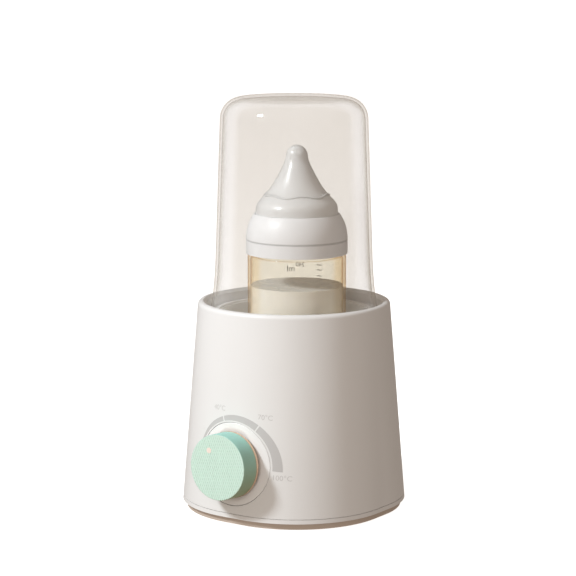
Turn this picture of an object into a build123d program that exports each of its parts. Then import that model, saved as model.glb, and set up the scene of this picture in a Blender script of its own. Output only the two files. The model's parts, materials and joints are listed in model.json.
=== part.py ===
from build123d import *
import math
import os

# A baby bottle warmer: a white tapered housing with a heated water well, a turning dial on its
# front and a clear lift-off cover, with the feeding bottle that it warms standing in the well.
# Millimetres, +Z up, the dial faces -Y. The origin is on the table, under the axis of the well.

# ---- Water well, the size that the rest is built round ----
WELL_RADIUS = 48.0  # inside, at the mouth
WELL_DRAFT = 1.5
WELL_WALL = 1.8
WELL_FLOOR = 2.0
WELL_FLANGE = 2.0
WELL_FLOOR_ROUND = 4.0
WELL_LIP_STEP = 1.3  # from the mouth out to the raised lip
WELL_LIP_WIDTH = 1.6
WELL_LIP_HEIGHT = 1.4
HOOK_COUNT = 4
HOOK_REACH = 1.5
HOOK_WIDTH = 8.0
HOOK_HEIGHT = 3.0

# ---- Housing: round at the rim, a rounded square at the foot, straight walls between ----
RIM_TOP = 136.4
RIM_WIDTH = 5.0
RIM_FLAT = 0.4  # half the length of each straight side at the rim
RIM_OUTER_ROUND = 2.6
RIM_INNER_ROUND = 1.8
RIM_DEPTH = 9.6  # from the rim's top down to the ring that carries the well
FOOT_SPREAD = 8.0  # the foot's side beyond the rim's side
FOOT_FLAT = 7.2  # half the length of each straight side at the foot
SHELL_WALL = 2.6
SHOULDER_THICK = 2.5

# ---- Base: tinted plate under the white tray ----
TABLE_GAP = 0.8  # the plate hangs this far above the table
PLATE_HEIGHT = 4.2
PLATE_INSET = 2.2  # the plate's edge behind the tray's edge
PLATE_DRAFT = 0.5  # the plate narrows by this much towards the table
PLATE_FLOOR = 2.4
PLATE_WALL = 2.4
BAND_HEIGHT = 2.6  # the tray's white band
SEAM_GAP = 0.4
SEAM_DEPTH = 1.0
TRAY_FLOOR = 2.0
LOCATING_RIM = 1.6
LOCATING_HEIGHT = 2.4
MATING_GAP = 0.3  # between mouldings that slide together

# ---- Non-slip ring under the plate ----
FOOT_RING_INSET = 15.0  # from the plate's side to the ring
FOOT_RING_WIDTH = 6.0
FOOT_RING_SEAT = 1.2

# ---- Screws and bosses ----
SCREW_RADIUS = 1.5
SCREW_LENGTH = 18.0
SCREW_HEAD_RADIUS = 3.0
SCREW_HEAD = 1.8
SMALL_SCREW_RADIUS = 1.2
SMALL_HEAD_RADIUS = 2.4
SMALL_HEAD = 1.5
SCREW_CLEARANCE = 0.3
THREAD_GAP = 0.02
BOSS_RADIUS = 4.2
BOSS_HEIGHT = 24.0
BOSS_CAP = 2.0
WEB_THICK = 2.0

# ---- Vents in the floor ----
VENT_COUNT = 7
VENT_LENGTH = 26.0
VENT_WIDTH = 2.4
VENT_PITCH = 6.0
VENT_Y = 10.0

# ---- Heating plate and what hangs under it ----
PLATE_HOLE = 36.0  # radius of the hole in the well's floor
PLATE_GAP = 0.4
HOT_FLANGE = 3.0  # the plate's flange beyond the hole
HOT_FLANGE_THICK = 2.0
HOT_PLATE_PROUD = 0.5
GASKET_THICK = 0.8
RETAINER_THICK = 1.5
RETAINER_EDGE = 2.1  # the retainer beyond its screws
RETAINER_BOSS = 2.9
RETAINER_BOSS_GAP = 0.5
RETAINER_SCREWS = 3
RETAINER_BITE = 3.0
HEATER_LENGTH = 36.0
HEATER_WIDTH = 26.0
HEATER_THICK = 5.0
STUD_RADIUS = 3.0
STUD_GAP = 4.0  # between the heater and the studs that hold its strap
STRAP_WIDTH = 10.0
STRAP_THICK = 1.0
STRAP_BITE = 4.0
FUSE_RADIUS = 2.0
FUSE_LENGTH = 14.0
FUSE_GAP = 13.0  # from the heater's side to the fuse
PROBE_RADIUS = 2.5
PROBE_LENGTH = 6.0
PROBE_GAP = 6.5  # from the heater's side to the probe

# ---- Control board ----
BOARD_MARGIN = 2.1  # from the board's ends to the bosses beside it
BOARD_WIDTH = 56.0
BOARD_THICK = 1.6
BOARD_Y = 12.0
BOARD_STANDOFF = 6.0
BOARD_AIR = 9.1  # between the tallest part on the board and the heater's screws
STANDOFF_RADIUS = 3.2
STANDOFF_INSET = 4.5
RELAY_LENGTH = 19.0
RELAY_WIDTH = 15.0
RELAY_HEIGHT = 12.0
RELAY_GAP = 1.5  # between the lead terminals and the relay, along the board
RELAY_EDGE = 2.5  # from the board's back edge
CAPACITOR_RADIUS = 5.0
CAPACITOR_HEIGHT = 12.0
CAPACITOR_X = -26.0
CAPACITOR_PITCH = 12.0
CAPACITOR_EDGE = 3.0
TERMINAL_LENGTH = 18.0
TERMINAL_WIDTH = 8.0
TERMINAL_HEIGHT = 9.0
TERMINAL_GAP = 7.0  # from the heater's side to the terminals' middle
PLUG_LENGTH = 12.0
PLUG_WIDTH = 6.0
PLUG_HEIGHT = 6.0
PLUG_EDGE = 12.0  # from the board's front edge to the plug's middle
WIRE_RADIUS = 0.9
WIRE_SPACING = 6.0
WIRE_BEND = 3.0
THIN_WIRE_RADIUS = 0.6
THIN_WIRE_SPACING = 2.4

# ---- Dial ----
KNOB_RADIUS = 20.9
KNOB_FACE_OUT = 16.4  # from the housing's surface to the knob's face
KNOB_DRAFT = 0.25
KNOB_EDGE_ROUND = 0.5
KNOB_WALL = 2.2
KNOB_CAP = 3.4
KNOB_HUB_RADIUS = 6.5
HUB_GAP = 0.9  # between the control's neck and the knob's hub
KNOB_RING_THICK = 1.8
KNOB_RING_OUT = 1.5
KNOB_RING_PROUD = 0.15
GROOVE_PITCH = 1.5
GROOVE_WIDTH = 0.7
GROOVE_DEPTH = 0.3
GROOVE_ANGLE = 24.0
DOT_RADIUS = 1.8
DOT_EDGE = 8.7  # from the knob's edge to the pointer dot
DOT_CLOCK = -34.0  # degrees clockwise from straight up
DOT_DEPTH = 1.2
DISH_GAP = 2.5  # between the knob and the dish in the bezel
DISH_DEPTH = 1.4
DISH_SLOPE = 6.0
BEZEL_LIP = 3.2  # the bezel beyond its dish
BEZEL_GAP = 0.3
BEZEL_FLANGE = 1.6  # the bezel's flange beyond the hole, behind the wall
BEZEL_FLANGE_THICK = 1.5
BEZEL_WEB = 4.6
BEZEL_ROUND = 0.5
DIAL_ABOVE_TRAY = 0.9
SHAFT_RADIUS = 3.0
SHAFT_FLAT = 1.6  # from the shaft's axis to its flat
SHAFT_SHY = 6.4  # the shaft's end behind the knob's face
SHAFT_GAP = 0.05
BUSHING_RADIUS = 4.5
BUSHING_OUT = 1.9
CONTROL_RADIUS = 9.0
CONTROL_DEPTH = 8.5
WASHER_RADIUS = 7.0
WASHER_THICK = 0.6
NUT_FLATS = 12.0
NUT_THICK = 2.0
TAB_LENGTH = 5.0
TAB_ROOT = 2.0  # how far each tab runs into the control
TAB_WIDTH = 1.6
TAB_THICK = 0.6
TAB_PITCH = 4.8

# ---- Supply inlet at the back ----
INLET_HEIGHT = 23.6  # above the tray
INLET_BORE = 3.3
INLET_NECK = 5.4
INLET_FLANGE = 7.6
INLET_LIP = 2.2
INLET_GAP = 0.05

# ---- Clear cover ----
COVER_HEIGHT = 140.8
COVER_WALL = 1.8
COVER_LIP_GAP = 2.5  # between the well's lip and the cover's foot
COVER_RIM_GAP = 2.2  # between the cover's foot and the rim
COVER_FLARE = 4.3  # the foot's radius beyond the waist's
COVER_WAIST = 41.2  # the flared foot ends this high above the seat
COVER_TAPER = 3.5  # the waist's radius beyond the top's
COVER_CROWN = 2.0
COVER_EDGE_ROUND = 14.0
COVER_FOOT_ROUND = 0.7

# ---- Feeding bottle ----
BOTTLE_AWAY = (1.5, 1.0)  # the bottle stands this far off the well's axis
BOTTLE_RADIUS = 32.0
BOTTLE_WALL = 1.7
BOTTLE_HEIGHT = 118.4  # from its base to the top of its shoulder
BOTTLE_BASE_ROUND = 5.0
BOTTLE_PUSH_UP = 0.9
NECK_STEP = 4.0  # the body's radius beyond the neck's
NECK_HEIGHT = 21.0
MILK_DEPTH = 97.8
MILK_GAP = 0.1
COLLAR_PROUD = 1.0  # the collar's band beyond the body
COLLAR_HEIGHT = 25.6
COLLAR_LINE = 9.0  # the straight band ends and the dome starts this high
COLLAR_LINE_WIDTH = 0.7
COLLAR_LINE_DEPTH = 0.4
COLLAR_DOME = 5.1  # the band's radius beyond the top's
COLLAR_DOME_LEAN = 0.7  # how far the dome leans in for each millimetre up at its top
COLLAR_MOUTH = 0.9  # the top's radius beyond the opening's
COLLAR_TOP_THICK = 2.6
COLLAR_GAP = 0.4
COLLAR_LIFT = 0.5  # between the body's shoulder and the collar
TEAT_FLANGE_GAP = 0.3
TEAT_WALL = 1.5
TEAT_GAP = 0.3  # between the teat and the collar's opening
TEAT_DOME = 5.4  # above the collar's top
TEAT_DOME_STEP = 0.5  # the teat's base radius beyond the dome's at that height
TEAT_RIDGE = 12.7
TEAT_RIDGE_STEP = 6.4
TEAT_RIDGE_LEAN = 0.9
TEAT_NECK = 28.4
TEAT_NECK_RADIUS = 10.5
TEAT_TIP = 37.5
TEAT_TIP_RADIUS = 7.1
TEAT_TIP_LEAN = 0.15
TEAT_HOLE = 0.6

# ---- Heights that follow from the sizes above, from the table up ----
PLATE_TOP = TABLE_GAP + PLATE_HEIGHT
TRAY_TOP = PLATE_TOP + BAND_HEIGHT + SEAM_GAP
LOCATING_TOP = TRAY_TOP + LOCATING_HEIGHT
FLOOR_TOP = PLATE_TOP + TRAY_FLOOR
BOARD_BOTTOM = FLOOR_TOP + BOARD_STANDOFF
BOARD_TOP = BOARD_BOTTOM + BOARD_THICK
HEATER_BOTTOM = (
    BOARD_TOP + max(RELAY_HEIGHT, CAPACITOR_HEIGHT) + BOARD_AIR + SMALL_HEAD + STRAP_THICK
)
HOT_FLANGE_BOTTOM = HEATER_BOTTOM + HEATER_THICK
HOT_FLANGE_TOP = HOT_FLANGE_BOTTOM + HOT_FLANGE_THICK
WELL_FLOOR_TOP = HOT_FLANGE_TOP + GASKET_THICK + WELL_FLOOR
HOT_TOP = WELL_FLOOR_TOP + HOT_PLATE_PROUD
SHOULDER_TOP = RIM_TOP - RIM_DEPTH
SEAT = SHOULDER_TOP + WELL_FLANGE
COVER_TOP = SEAT + COVER_HEIGHT
COLLAR_BASE = HOT_TOP + BOTTLE_HEIGHT + COLLAR_LIFT
COLLAR_TOP = COLLAR_BASE + COLLAR_HEIGHT
NECK_TOP = HOT_TOP + BOTTLE_HEIGHT + NECK_HEIGHT

# ---- Radii and widths that follow, from the well outwards ----
WELL_FLOOR_RADIUS = WELL_RADIUS - WELL_DRAFT
WELL_OUTER = WELL_RADIUS + WELL_WALL
WELL_PASSAGE = WELL_OUTER + MATING_GAP
WELL_LIP_RADIUS = WELL_RADIUS + WELL_LIP_STEP
COVER_FOOT_RADIUS = WELL_LIP_RADIUS + WELL_LIP_WIDTH + COVER_LIP_GAP + COVER_WALL
COVER_WAIST_RADIUS = COVER_FOOT_RADIUS - COVER_FLARE
COVER_TOP_RADIUS = COVER_WAIST_RADIUS - COVER_TAPER
RIM_BORE = COVER_FOOT_RADIUS + COVER_RIM_GAP
RIM_HALF = RIM_BORE + RIM_WIDTH
FOOT_HALF = RIM_HALF + FOOT_SPREAD
LOCATING_INSET = SHELL_WALL + MATING_GAP
POCKET_INSET = LOCATING_INSET + LOCATING_RIM
BOSS_INSET = POCKET_INSET + MATING_GAP + BOSS_RADIUS  # from the shell's outside to a boss's axis
HOT_FLANGE_RADIUS = PLATE_HOLE + HOT_FLANGE
RETAINER_SCREW_ORBIT = HOT_FLANGE_RADIUS + RETAINER_BOSS + RETAINER_BOSS_GAP
STUD_X = HEATER_LENGTH / 2 + STUD_GAP + STUD_RADIUS
DISH_RADIUS = KNOB_RADIUS + DISH_GAP
BEZEL_RADIUS = DISH_RADIUS + BEZEL_LIP
BEZEL_HOLE = BEZEL_RADIUS + BEZEL_GAP
BEZEL_FLANGE_RADIUS = BEZEL_HOLE + BEZEL_FLANGE
NECK_RADIUS = BOTTLE_RADIUS - NECK_STEP
COLLAR_RADIUS = BOTTLE_RADIUS + COLLAR_PROUD
COLLAR_TOP_RADIUS = COLLAR_RADIUS - COLLAR_DOME
COLLAR_OPENING = COLLAR_TOP_RADIUS - COLLAR_MOUTH
TEAT_BASE_RADIUS = COLLAR_OPENING - TEAT_GAP
TEAT_RIDGE_RADIUS = TEAT_BASE_RADIUS - TEAT_RIDGE_STEP


# ---- Shared helpers ----
def wall_half(z):
    """Half the housing's width at a height."""
    return RIM_HALF + (FOOT_HALF - RIM_HALF) * (RIM_TOP - z) / (RIM_TOP - PLATE_TOP)


def wall_flat(z):
    """Half the length of a straight side of the housing at a height."""
    return RIM_FLAT + (FOOT_FLAT - RIM_FLAT) * (RIM_TOP - z) / (RIM_TOP - PLATE_TOP)


def rounded_square(z, half, flat):
    return Plane.XY.offset(z) * RectangleRounded(2 * half, 2 * half, half - flat)


def tapered_block(z_low, z_high, inset=0.0):
    """The housing's outer form between two heights, moved inwards by inset all round."""
    ends = [rounded_square(z, wall_half(z) - inset, wall_flat(z)) for z in (z_low, z_high)]
    return loft(ends, ruled=True)


def turned(*outline):
    """A solid turned about the Z axis from (radius, height) corners."""
    return revolve(Plane.XZ * make_face(Polyline(*outline, close=True)), Axis.Z)


def post(radius, z_low, z_high, x=0.0, y=0.0):
    height = z_high - z_low
    return Pos(x, y, z_low) * Cylinder(radius, height, align=(Align.CENTER, Align.CENTER, Align.MIN))


def block(length, width, height, x, y, z_low):
    base = (Align.CENTER, Align.CENTER, Align.MIN)
    return Pos(x, y, z_low) * Box(length, width, height, align=base)


def around(count, orbit, start=0.0):
    """Places evenly spread on a circle."""
    angles = [math.radians(start + 360 * i / count) for i in range(count)]
    return [(orbit * math.cos(a), orbit * math.sin(a)) for a in angles]


def screw(x, y, z_seat, length, radius, head_radius, head):
    """A screw driven upwards, with its head under z_seat."""
    return post(head_radius, z_seat - head, z_seat, x, y) + post(radius, z_seat, z_seat + length, x, y)


def wire(radius, bend, *points):
    """A round wire along straight runs with one bend radius."""
    path = FilletPolyline(*points, radius=bend) if len(points) > 2 else Line(*points)
    return sweep(Plane(origin=path @ 0, z_dir=path % 0) * Circle(radius), path=path)


# ---- The dial's own frame: its axis stands square to the sloping front wall ----
DIAL_TILT = math.atan((FOOT_HALF - RIM_HALF) / (RIM_TOP - PLATE_TOP))
DIAL_Z = LOCATING_TOP + DIAL_ABOVE_TRAY + BEZEL_FLANGE_RADIUS
DIAL = Plane(
    origin=(0, -wall_half(DIAL_Z), DIAL_Z),
    x_dir=(1, 0, 0),
    z_dir=(0, -math.cos(DIAL_TILT), math.sin(DIAL_TILT)),
)
WEB_BACK = -DISH_DEPTH - BEZEL_WEB
SIDE_REACH = BEZEL_FLANGE_RADIUS - wall_flat(DIAL_Z)
WALL_CORNER = wall_half(DIAL_Z) - wall_flat(DIAL_Z)
WALL_FALL = WALL_CORNER - math.sqrt(WALL_CORNER**2 - SIDE_REACH**2)  # at the flange's two sides
BEZEL_DEPTH = WALL_FALL + SHELL_WALL + BEZEL_FLANGE_THICK
SHAFT_END = KNOB_FACE_OUT - SHAFT_SHY


def at_dial(shape):
    """Moves a shape built about +Z, with z = 0 on the housing's surface, to the dial."""
    return DIAL.location * shape


def clock(orbit, degrees):
    """A place on the dial, in degrees clockwise from straight up."""
    turn = math.radians(degrees)
    return orbit * math.sin(turn), orbit * math.cos(turn)


# ---- The inlet's own frame, square to the sloping back wall ----
INLET_Z = TRAY_TOP + INLET_HEIGHT
INLET = Plane(
    origin=(0, wall_half(INLET_Z), INLET_Z),
    x_dir=(-1, 0, 0),
    z_dir=(0, math.cos(DIAL_TILT), math.sin(DIAL_TILT)),
)


def boss_places():
    """The four base screws stand on the diagonals, a set distance inside the shell."""
    corner = wall_half(TRAY_TOP) - wall_flat(TRAY_TOP)
    reach = corner + wall_flat(TRAY_TOP) * math.sqrt(2) - BOSS_INSET
    return around(4, reach, 45)


def board_length():
    """The board fills the width between the bosses."""
    return 2 * (boss_places()[0][0] - BOSS_RADIUS - BOARD_MARGIN)


def standoff_places():
    x = board_length() / 2 - STANDOFF_INSET
    y = BOARD_WIDTH / 2 - STANDOFF_INSET
    return [(i * x, BOARD_Y + j * y) for i in (-1, 1) for j in (-1, 1)]


# ---- Housing ----
def rounded_rim_block():
    """The outer form with its rim rounded."""
    form = tapered_block(TRAY_TOP, RIM_TOP)
    return fillet(form.faces().sort_by(Axis.Z)[-1].edges(), RIM_OUTER_ROUND)


def shell_boss(x, y):
    """A screw boss on the tray's floor, webbed to the wall behind it."""
    boss_top = FLOOR_TOP + BOSS_HEIGHT
    web_foot = LOCATING_TOP + MATING_GAP
    reach = math.hypot(x, y)
    turn = math.degrees(math.atan2(y, x))
    web = block(BOSS_INSET, WEB_THICK, boss_top - web_foot, reach + BOSS_INSET / 2, 0, web_foot)
    web = (Rot(0, 0, turn) * web) & tapered_block(web_foot, boss_top, SHELL_WALL / 2)
    return post(BOSS_RADIUS, FLOOR_TOP, boss_top, x, y) + web


def make_outer_housing():
    cavity = tapered_block(TRAY_TOP, SHOULDER_TOP - SHOULDER_THICK, SHELL_WALL)
    mouth = turned(
        (0, SHOULDER_TOP),
        (RIM_BORE, SHOULDER_TOP),
        (RIM_BORE, RIM_TOP - RIM_INNER_ROUND),
        (RIM_BORE + RIM_INNER_ROUND, RIM_TOP),
        (0, RIM_TOP),
    )
    shell = rounded_rim_block() - cavity - post(WELL_PASSAGE, TRAY_TOP, SHOULDER_TOP) - mouth
    for x, y in boss_places():
        shell += shell_boss(x, y)
        hole_top = FLOOR_TOP + BOSS_HEIGHT - BOSS_CAP
        shell -= post(SCREW_RADIUS + THREAD_GAP, FLOOR_TOP, hole_top, x, y)
    wall_zone = 2 * BEZEL_DEPTH
    shell -= at_dial(Cylinder(BEZEL_HOLE, wall_zone))
    shell -= INLET.location * Cylinder(INLET_NECK + INLET_GAP, wall_zone)
    return shell


def make_base_tray():
    tray = tapered_block(PLATE_TOP, TRAY_TOP)
    seam = tapered_block(TRAY_TOP - SEAM_GAP, TRAY_TOP)
    seam -= tapered_block(TRAY_TOP - SEAM_GAP, TRAY_TOP, SEAM_DEPTH)
    tray += tapered_block(TRAY_TOP, LOCATING_TOP, LOCATING_INSET)
    tray -= seam
    tray -= tapered_block(FLOOR_TOP, LOCATING_TOP, POCKET_INSET)
    for x, y in boss_places():
        tray -= post(SCREW_RADIUS + SCREW_CLEARANCE, PLATE_TOP, FLOOR_TOP, x, y)
    for x, y in standoff_places():
        tray += post(STANDOFF_RADIUS, FLOOR_TOP, BOARD_BOTTOM, x, y)
        tray -= post(SMALL_SCREW_RADIUS + THREAD_GAP, FLOOR_TOP, BOARD_BOTTOM, x, y)
    return tray - vents(PLATE_TOP, FLOOR_TOP)


def vents(z_low, z_high):
    """A row of slots through the floor, for air to the heater."""
    slot = extrude(SlotOverall(VENT_LENGTH, VENT_WIDTH, rotation=90), amount=z_high - z_low)
    first = -(VENT_COUNT - 1) / 2 * VENT_PITCH
    return Compound(
        children=[Pos(first + i * VENT_PITCH, VENT_Y, z_low) * slot for i in range(VENT_COUNT)]
    )


def plate_form(z_low, z_high, inset=0.0):
    top_half = wall_half(PLATE_TOP) - PLATE_INSET - inset
    top = rounded_square(z_high, top_half, FOOT_FLAT)
    bottom = rounded_square(z_low, top_half - PLATE_DRAFT, FOOT_FLAT)
    return loft([bottom, top], ruled=True)


def make_base_plate():
    plate = plate_form(TABLE_GAP, PLATE_TOP)
    plate -= plate_form(TABLE_GAP + PLATE_FLOOR, PLATE_TOP, PLATE_WALL)
    head_room = SCREW_HEAD_RADIUS + SCREW_CLEARANCE
    for x, y in boss_places():
        plate += post(head_room + PLATE_WALL / 2, TABLE_GAP, PLATE_TOP, x, y)
        plate -= post(head_room, TABLE_GAP, TABLE_GAP + SCREW_HEAD + SCREW_CLEARANCE, x, y)
        plate -= post(SCREW_RADIUS + SCREW_CLEARANCE, TABLE_GAP, PLATE_TOP, x, y)
    plate -= foot_ring_form(TABLE_GAP, TABLE_GAP + FOOT_RING_SEAT)
    return plate - vents(TABLE_GAP, TABLE_GAP + PLATE_FLOOR)


def foot_ring_form(z_low, z_high):
    outer = wall_half(PLATE_TOP) - PLATE_INSET - FOOT_RING_INSET
    return post(outer, z_low, z_high) - post(outer - FOOT_RING_WIDTH, z_low, z_high)


def make_foot_ring():
    return foot_ring_form(0, TABLE_GAP + FOOT_RING_SEAT)


def make_base_screws():
    seat = TABLE_GAP + SCREW_HEAD + SCREW_CLEARANCE
    sizes = (SCREW_LENGTH, SCREW_RADIUS, SCREW_HEAD_RADIUS, SCREW_HEAD)
    return [screw(x, y, seat, *sizes) for x, y in boss_places()]


# ---- Water well ----
def well_hook():
    """A wedge outside the well that snaps under the housing's inner ring."""
    top = SHOULDER_TOP - SHOULDER_THICK - MATING_GAP / 2
    reach = WELL_PASSAGE + HOOK_REACH
    root = WELL_OUTER - WELL_WALL
    face = make_face(Polyline((root, top), (reach, top), (root, top - HOOK_HEIGHT), close=True))
    return extrude(Plane.XZ * face, amount=HOOK_WIDTH / 2, both=True)


def make_water_well():
    floor_outer = WELL_FLOOR_RADIUS + WELL_WALL
    floor_bottom = WELL_FLOOR_TOP - WELL_FLOOR
    flange_radius = RIM_BORE - MATING_GAP
    body = turned(
        (0, floor_bottom),
        (floor_outer, floor_bottom),
        (WELL_OUTER, SHOULDER_TOP),
        (flange_radius, SHOULDER_TOP),
        (flange_radius, SEAT),
        (0, SEAT),
    )
    lip = post(WELL_LIP_RADIUS + WELL_LIP_WIDTH, SEAT, SEAT + WELL_LIP_HEIGHT)
    lip -= post(WELL_LIP_RADIUS, SEAT, SEAT + WELL_LIP_HEIGHT)
    hollow = turned(
        (0, WELL_FLOOR_TOP),
        (WELL_FLOOR_RADIUS, WELL_FLOOR_TOP),
        (WELL_RADIUS, SEAT),
        (0, SEAT),
    )
    hollow = fillet(hollow.edges().filter_by(GeomType.CIRCLE).sort_by(Axis.Z)[0], WELL_FLOOR_ROUND)
    well = body + lip - hollow - post(PLATE_HOLE, floor_bottom, WELL_FLOOR_TOP)
    for turn in range(HOOK_COUNT):
        well += Rot(0, 0, 360 / HOOK_COUNT * turn + 45) * well_hook()
    for x, y in around(RETAINER_SCREWS, RETAINER_SCREW_ORBIT, 30):
        well += post(RETAINER_BOSS, HOT_FLANGE_BOTTOM, floor_bottom, x, y)
        well -= post(SMALL_SCREW_RADIUS + THREAD_GAP, HOT_FLANGE_BOTTOM, floor_bottom, x, y)
    return well


def make_heating_plate():
    crown_radius = PLATE_HOLE - PLATE_GAP
    plate = post(HOT_FLANGE_RADIUS, HOT_FLANGE_BOTTOM, HOT_FLANGE_TOP)
    plate += post(crown_radius, HOT_FLANGE_TOP, HOT_TOP)
    plate = chamfer(plate.edges().filter_by(GeomType.CIRCLE).sort_by(Axis.Z)[-1], PLATE_GAP)
    for x in (-STUD_X, STUD_X):
        plate += post(STUD_RADIUS, HEATER_BOTTOM, HOT_FLANGE_BOTTOM, x)
        plate -= post(SMALL_SCREW_RADIUS + THREAD_GAP, HEATER_BOTTOM, HOT_FLANGE_BOTTOM, x)
    return plate


def make_plate_gasket():
    bottom, top = HOT_FLANGE_TOP, HOT_FLANGE_TOP + GASKET_THICK
    return post(HOT_FLANGE_RADIUS, bottom, top) - post(PLATE_HOLE, bottom, top)


def make_plate_retainer():
    bottom, top = HOT_FLANGE_BOTTOM - RETAINER_THICK, HOT_FLANGE_BOTTOM
    outer = RETAINER_SCREW_ORBIT + RETAINER_EDGE
    ring = post(outer, bottom, top) - post(PLATE_HOLE, bottom, top)
    for x, y in around(RETAINER_SCREWS, RETAINER_SCREW_ORBIT, 30):
        ring -= post(SMALL_SCREW_RADIUS + SCREW_CLEARANCE, bottom, top, x, y)
    return ring


def make_retainer_screws():
    seat = HOT_FLANGE_BOTTOM - RETAINER_THICK
    sizes = (RETAINER_BITE, SMALL_SCREW_RADIUS, SMALL_HEAD_RADIUS, SMALL_HEAD)
    return [screw(x, y, seat, *sizes) for x, y in around(RETAINER_SCREWS, RETAINER_SCREW_ORBIT, 30)]


# ---- Heater and its sensors ----
def make_ptc_heater():
    heater = block(HEATER_LENGTH, HEATER_WIDTH, HEATER_THICK, 0, 0, HEATER_BOTTOM)
    return fillet(heater.edges().filter_by(Axis.Z), WIRE_RADIUS)


def make_heater_strap():
    length = 2 * (STUD_X + STUD_RADIUS)
    strap = block(length, STRAP_WIDTH, STRAP_THICK, 0, 0, HEATER_BOTTOM - STRAP_THICK)
    strap = fillet(strap.edges().filter_by(Axis.Z), STUD_RADIUS)
    for x in (-STUD_X, STUD_X):
        hole = SMALL_SCREW_RADIUS + SCREW_CLEARANCE
        strap -= post(hole, HEATER_BOTTOM - STRAP_THICK, HEATER_BOTTOM, x)
    return strap


def make_strap_screws():
    seat = HEATER_BOTTOM - STRAP_THICK
    sizes = (STRAP_BITE, SMALL_SCREW_RADIUS, SMALL_HEAD_RADIUS, SMALL_HEAD)
    return [screw(x, 0, seat, *sizes) for x in (-STUD_X, STUD_X)]


def make_thermal_fuse():
    middle = HOT_FLANGE_BOTTOM - FUSE_RADIUS
    can = Pos(0, HEATER_WIDTH / 2 + FUSE_GAP, middle) * Rot(0, 90, 0) * Cylinder(FUSE_RADIUS, FUSE_LENGTH)
    return chamfer(can.edges().filter_by(GeomType.CIRCLE), FUSE_RADIUS / 4)


def probe_place():
    return -HEATER_WIDTH / 2 - PROBE_GAP - PROBE_RADIUS


def make_temperature_probe():
    foot = HOT_FLANGE_BOTTOM - PROBE_LENGTH
    probe = post(PROBE_RADIUS, foot, HOT_FLANGE_BOTTOM, 0, probe_place())
    return chamfer(probe.edges().filter_by(GeomType.CIRCLE).sort_by(Axis.Z)[0], PROBE_RADIUS / 4)


def make_heater_leads():
    """Two wires from the heater's side down to the terminals."""
    top = HEATER_BOTTOM + HEATER_THICK / 2
    side = HEATER_WIDTH / 2
    drop = side + TERMINAL_GAP
    low = BOARD_TOP + TERMINAL_HEIGHT
    leads = []
    for x in (-WIRE_SPACING / 2, WIRE_SPACING / 2):
        leads.append(wire(WIRE_RADIUS, WIRE_BEND, (x, side, top), (x, drop, top), (x, drop, low)))
    return leads


def make_probe_leads():
    """Two thin wires from the probe down to the plug on the board."""
    top = HOT_FLANGE_BOTTOM - PROBE_LENGTH
    low = BOARD_TOP + PLUG_HEIGHT
    middle = (top + low) / 2
    start, end = probe_place(), board_front() + PLUG_EDGE
    leads = []
    for x in (-THIN_WIRE_SPACING / 2, THIN_WIRE_SPACING / 2):
        route = ((x, start, top), (x, start, middle), (x, end, middle), (x, end, low))
        leads.append(wire(THIN_WIRE_RADIUS, WIRE_BEND, *route))
    return leads


# ---- Control board ----
def board_front():
    return BOARD_Y - BOARD_WIDTH / 2


def board_back():
    return BOARD_Y + BOARD_WIDTH / 2


def make_control_board():
    board = block(board_length(), BOARD_WIDTH, BOARD_THICK, 0, BOARD_Y, BOARD_BOTTOM)
    board = fillet(board.edges().filter_by(Axis.Z), STANDOFF_INSET / 2)
    for x, y in standoff_places():
        board -= post(SMALL_SCREW_RADIUS + SCREW_CLEARANCE, BOARD_BOTTOM, BOARD_TOP, x, y)
    return board


def make_board_screws():
    """Screws driven down through the board into the tray's standoffs."""
    screws = []
    for x, y in standoff_places():
        head = post(SMALL_HEAD_RADIUS, BOARD_TOP, BOARD_TOP + SMALL_HEAD, x, y)
        screws.append(head + post(SMALL_SCREW_RADIUS, FLOOR_TOP + THREAD_GAP, BOARD_TOP, x, y))
    return screws


def make_board_relay():
    y = board_back() - RELAY_EDGE - RELAY_WIDTH / 2
    x = TERMINAL_LENGTH / 2 + RELAY_GAP + RELAY_LENGTH / 2
    relay = block(RELAY_LENGTH, RELAY_WIDTH, RELAY_HEIGHT, x, y, BOARD_TOP)
    return chamfer(relay.faces().sort_by(Axis.Z)[-1].edges(), WIRE_RADIUS / 2)


def make_board_capacitors():
    top = BOARD_TOP + CAPACITOR_HEIGHT
    back = board_back() - CAPACITOR_EDGE - CAPACITOR_RADIUS
    cans = []
    for y in (back, back - CAPACITOR_PITCH):
        can = post(CAPACITOR_RADIUS, BOARD_TOP, top, CAPACITOR_X, y)
        cans.append(fillet(can.edges().filter_by(GeomType.CIRCLE).sort_by(Axis.Z)[-1], WIRE_RADIUS))
    return cans


def make_lead_terminals():
    y = HEATER_WIDTH / 2 + TERMINAL_GAP
    return block(TERMINAL_LENGTH, TERMINAL_WIDTH, TERMINAL_HEIGHT, 0, y, BOARD_TOP)


def make_probe_plug():
    return block(PLUG_LENGTH, PLUG_WIDTH, PLUG_HEIGHT, 0, board_front() + PLUG_EDGE, BOARD_TOP)


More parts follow.
